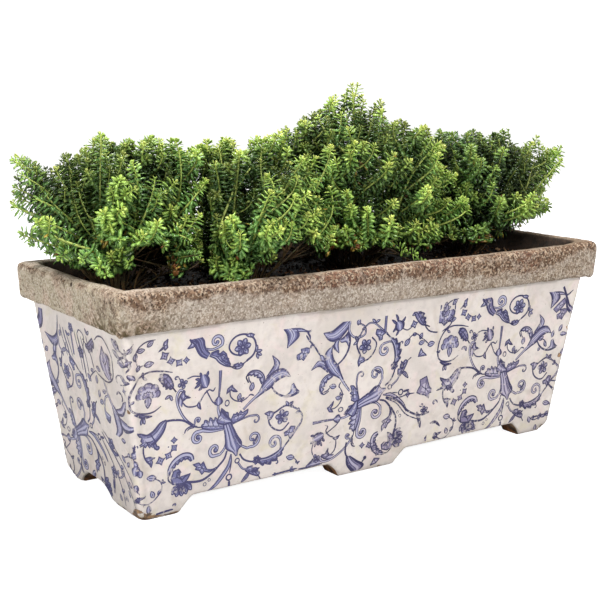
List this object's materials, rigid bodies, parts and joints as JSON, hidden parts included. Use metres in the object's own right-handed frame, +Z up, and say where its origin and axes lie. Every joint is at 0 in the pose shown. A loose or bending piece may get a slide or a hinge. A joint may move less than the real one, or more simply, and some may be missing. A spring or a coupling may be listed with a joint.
{
  "type": "trough planter",
  "caption": "Long tapering ceramic trough with a thick rim and stub feet, planted with small-leaved evergreen shrubs in compost over crocked drainage holes.",
  "frame": {"origin": "centre of the trough's footprint, on the surface that the feet stand on", "axes": "+X along the trough, -Y out of its front face, +Z up"},
  "size_m": [0.472, 0.168, 0.27],
  "materials": {
    "aged_ceramic": "satin",
    "crock_clay": "matte",
    "potting_compost": "matte",
    "root_mass": "matte",
    "leaf": "satin"
  },
  "bodies": {
    "trough": {"trough_body": "aged_ceramic", "crock_left": "crock_clay", "crock_middle": "crock_clay", "crock_right": "crock_clay"},
    "compost_fill": {"compost": "potting_compost"},
    "plant_1": {"plant_1_rootball": "root_mass", "plant_1_foliage": "leaf"},
    "plant_2": {"plant_2_rootball": "root_mass", "plant_2_foliage": "leaf"},
    "plant_3": {"plant_3_rootball": "root_mass", "plant_3_foliage": "leaf"},
    "plant_4": {"plant_4_rootball": "root_mass", "plant_4_foliage": "leaf"}
  },
  "joints": [
    {"name": "compost_lift", "type": "slide", "parent": "trough", "child": "compost_fill", "axis": [0, 0, 1], "range_m": [0, 0.13]},
    {"name": "plant_1_lift", "type": "slide", "parent": "compost_fill", "child": "plant_1", "axis": [0, 0, 1], "range_m": [0, 0.09]},
    {"name": "plant_2_lift", "type": "slide", "parent": "compost_fill", "child": "plant_2", "axis": [0, 0, 1], "range_m": [0, 0.09]},
    {"name": "plant_3_lift", "type": "slide", "parent": "compost_fill", "child": "plant_3", "axis": [0, 0, 1], "range_m": [0, 0.09]},
    {"name": "plant_4_lift", "type": "slide", "parent": "compost_fill", "child": "plant_4", "axis": [0, 0, 1], "range_m": [0, 0.09]}
  ]
}
